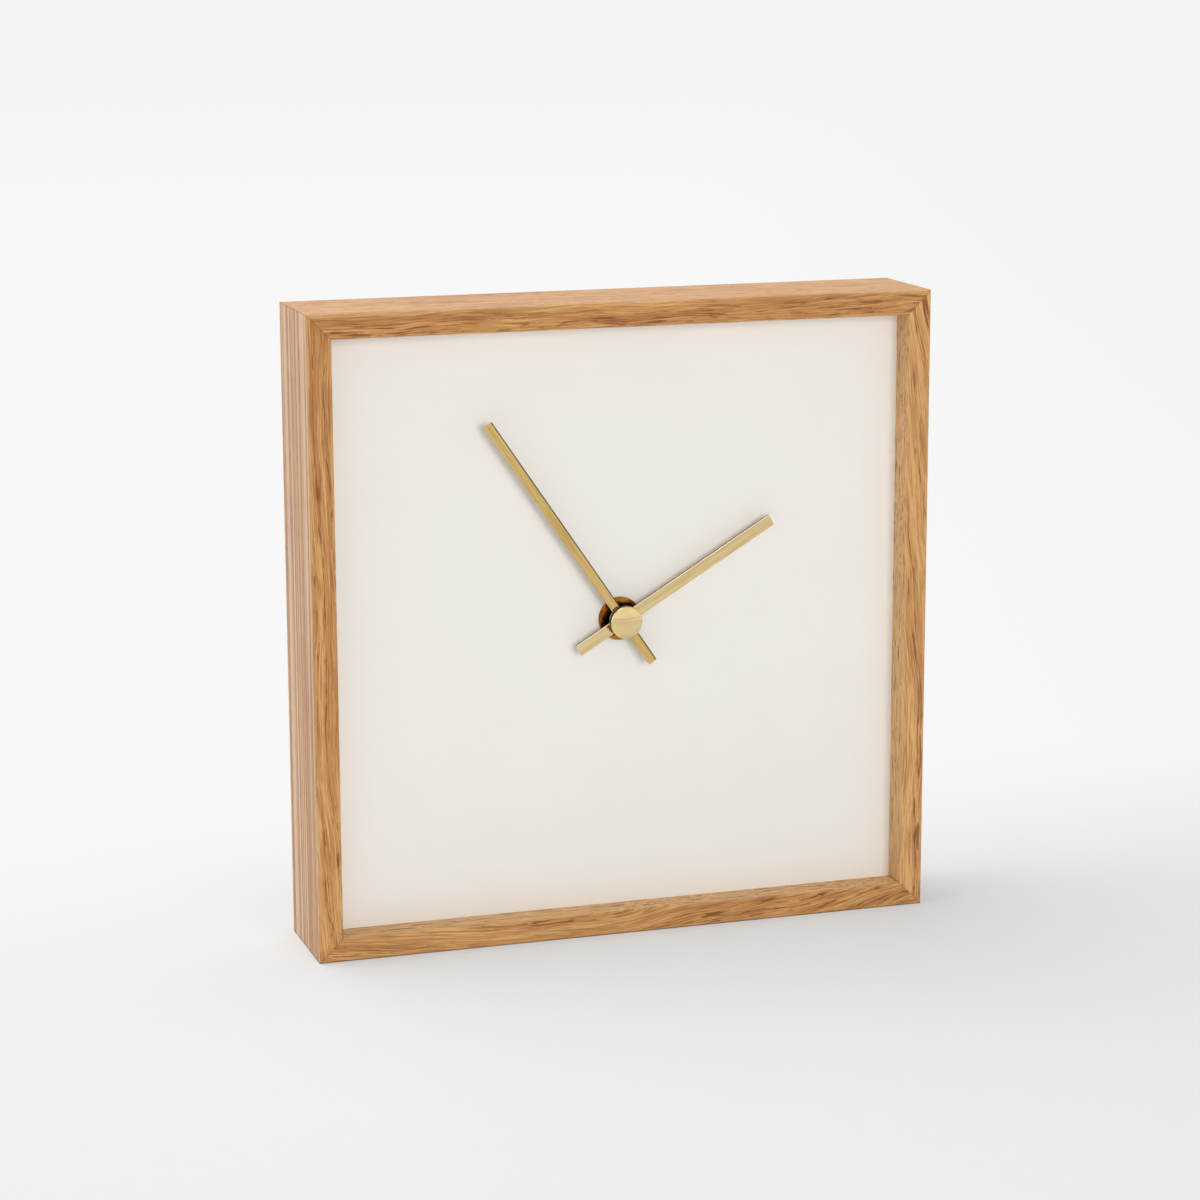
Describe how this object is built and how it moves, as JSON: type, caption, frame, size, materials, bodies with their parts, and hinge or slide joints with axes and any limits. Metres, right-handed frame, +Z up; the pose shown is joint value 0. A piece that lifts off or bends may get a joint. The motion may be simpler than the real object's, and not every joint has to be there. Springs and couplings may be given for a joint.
{
  "type": "desk clock",
  "caption": "Square wooden desk clock: mitred rails round a recessed plain dial, brass bar hands, and a geared quartz movement set from an opening in the back.",
  "frame": {"origin": "middle of the case's footprint, on the surface it stands on", "axes": "+Z up, the dial faces -Y, +X to the right seen from the front"},
  "size_m": [0.2, 0.0364, 0.2],
  "materials": {
    "oak": "oiled, fine open grain",
    "dial_paint": "matte cream paint on board",
    "softwood": "sawn",
    "back_board": "smooth pressed board",
    "polished_brass": "polished",
    "turned_brass": "turned",
    "rubber": "matte",
    "black_plastic": "fine moulded texture",
    "gear_plastic": "moulded",
    "steel": "stamped",
    "nickel": "plated",
    "magnet": "sintered",
    "copper": "enamelled wire",
    "board_green": "lacquered",
    "chip_resin": "moulded resin",
    "cell_sleeve": "smooth film over a metal can"
  },
  "bodies": {
    "case": {"bottom_rail": "oak", "top_rail": "oak", "left_stile": "oak", "right_stile": "oak", "dial_board": "dial_paint", "corner_blocks": "softwood", "back_panel": "back_board", "dial_washer": "polished_brass", "threaded_bush": "turned_brass", "dial_nut": "turned_brass", "rubber_gasket": "rubber", "movement_front_case": "black_plastic", "movement_rear_case": "black_plastic", "train_bridge": "gear_plastic", "coil_bobbin": "gear_plastic", "stator": "steel", "coil_core": "steel", "quartz_crystal": "nickel", "negative_contact": "nickel", "positive_contact": "nickel", "coil_winding": "copper", "circuit_board": "board_green", "chip_cover": "chip_resin", "battery": "cell_sleeve"},
    "minute": {"minute_hand": "polished_brass", "hand_cap": "polished_brass", "minute_pipe": "gear_plastic"},
    "hour": {"hour_hand": "polished_brass", "hour_wheel": "gear_plastic"},
    "setting": {"motion_wheel": "gear_plastic", "setting_knob": "black_plastic"},
    "centre": {"centre_wheel": "gear_plastic"},
    "third": {"third_wheel": "gear_plastic"},
    "fourth": {"fourth_wheel": "gear_plastic"},
    "fifth": {"fifth_wheel": "gear_plastic"},
    "rotor_body": {"rotor": "gear_plastic", "rotor_magnet": "magnet"}
  },
  "joints": [
    {"name": "minute_turn", "type": "hinge", "parent": "case", "child": "minute", "pos_m": [0, 0, 0.1], "axis": [0, 1, 0], "continuous": true},
    {"name": "hour_turn", "type": "hinge", "parent": "case", "child": "hour", "pos_m": [0, 0, 0.1], "axis": [0, 1, 0], "continuous": true},
    {"name": "setting_turn", "type": "hinge", "parent": "case", "child": "setting", "pos_m": [0.01004, 0, 0.1], "axis": [0, 1, 0], "continuous": true},
    {"name": "fourth_turn", "type": "hinge", "parent": "case", "child": "fourth", "pos_m": [0, 0, 0.1], "axis": [0, 1, 0], "continuous": true},
    {"name": "third_turn", "type": "hinge", "parent": "case", "child": "third", "pos_m": [-0.0095, 0, 0.1], "axis": [0, 1, 0], "continuous": true},
    {"name": "centre_turn", "type": "hinge", "parent": "case", "child": "centre", "pos_m": [0, 0, 0.1], "axis": [0, 1, 0], "continuous": true},
    {"name": "fifth_turn", "type": "hinge", "parent": "case", "child": "fifth", "pos_m": [0, 0, 0.10974], "axis": [0, 1, 0], "continuous": true},
    {"name": "rotor_turn", "type": "hinge", "parent": "case", "child": "rotor_body", "pos_m": [0.00599, 0, 0.11425], "axis": [0, 1, 0], "continuous": true}
  ],
  "couplings": [
    {"joint": "hour_turn", "follows": "minute_turn", "ratio": 0.083333},
    {"joint": "setting_turn", "follows": "minute_turn", "ratio": -0.33333},
    {"joint": "third_turn", "follows": "fourth_turn", "ratio": -0.13333},
    {"joint": "centre_turn", "follows": "fourth_turn", "ratio": 0.016667},
    {"joint": "fifth_turn", "follows": "fourth_turn", "ratio": -6},
    {"joint": "rotor_turn", "follows": "fourth_turn", "ratio": 30}
  ]
}
